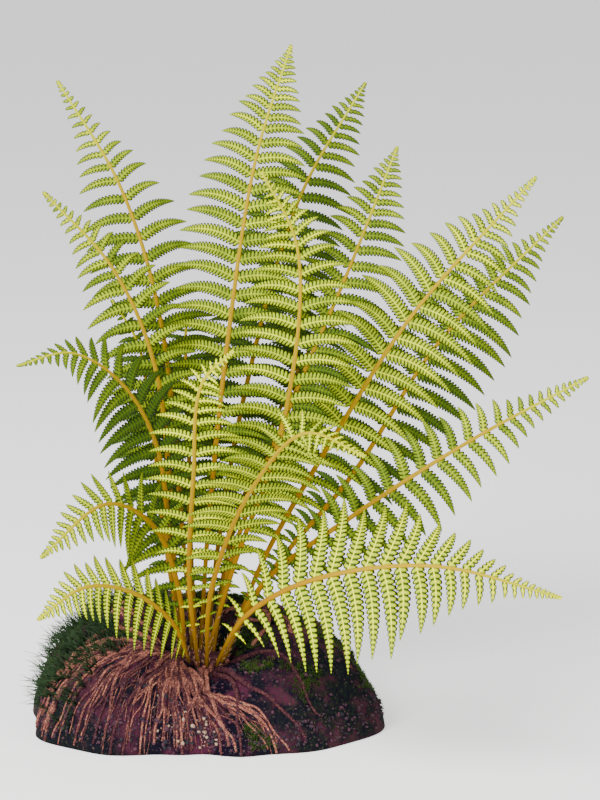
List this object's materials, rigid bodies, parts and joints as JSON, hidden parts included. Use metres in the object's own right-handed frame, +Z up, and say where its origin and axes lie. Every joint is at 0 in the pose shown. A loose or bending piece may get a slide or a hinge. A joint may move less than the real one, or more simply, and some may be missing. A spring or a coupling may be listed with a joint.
{
  "type": "fern with its root clod",
  "caption": "Lemon-scented fern: a shuttlecock of upright and arching feathery fronds on a short rootstock, with bare roots spread over a mossy clod of dark soil",
  "frame": {"origin": "on the surface the clod stands on, straight below the middle of the rootstock", "axes": "+Z up; front towards -Y, the side the bare roots and the most open view of the fronds are on; +X to the right seen from the front"},
  "size_m": [0.4944, 0.4592, 0.62],
  "materials": {
    "frond": "thin soft living leaf, yellow-green",
    "root": "fibrous reddish-brown root",
    "soil": "moist dark peaty soil with moss"
  },
  "bodies": {
    "root": {"frond_left_tall": "frond", "frond_left_middle": "frond", "frond_left_arching": "frond", "frond_centre_tallest": "frond", "frond_back_tall": "frond", "frond_centre_front": "frond", "frond_right_upright": "frond", "frond_right_tall": "frond", "frond_right_back": "frond", "frond_right_low": "frond", "frond_right_spreading": "frond", "frond_front_arching": "frond", "frond_front_left": "frond", "frond_left_low": "frond", "frond_left_lowest": "frond", "frond_inner_left": "frond", "frond_behind_left": "frond", "frond_behind_right": "frond", "rootstock": "root", "soil_clod": "soil"}
  },
  "joints": []
}
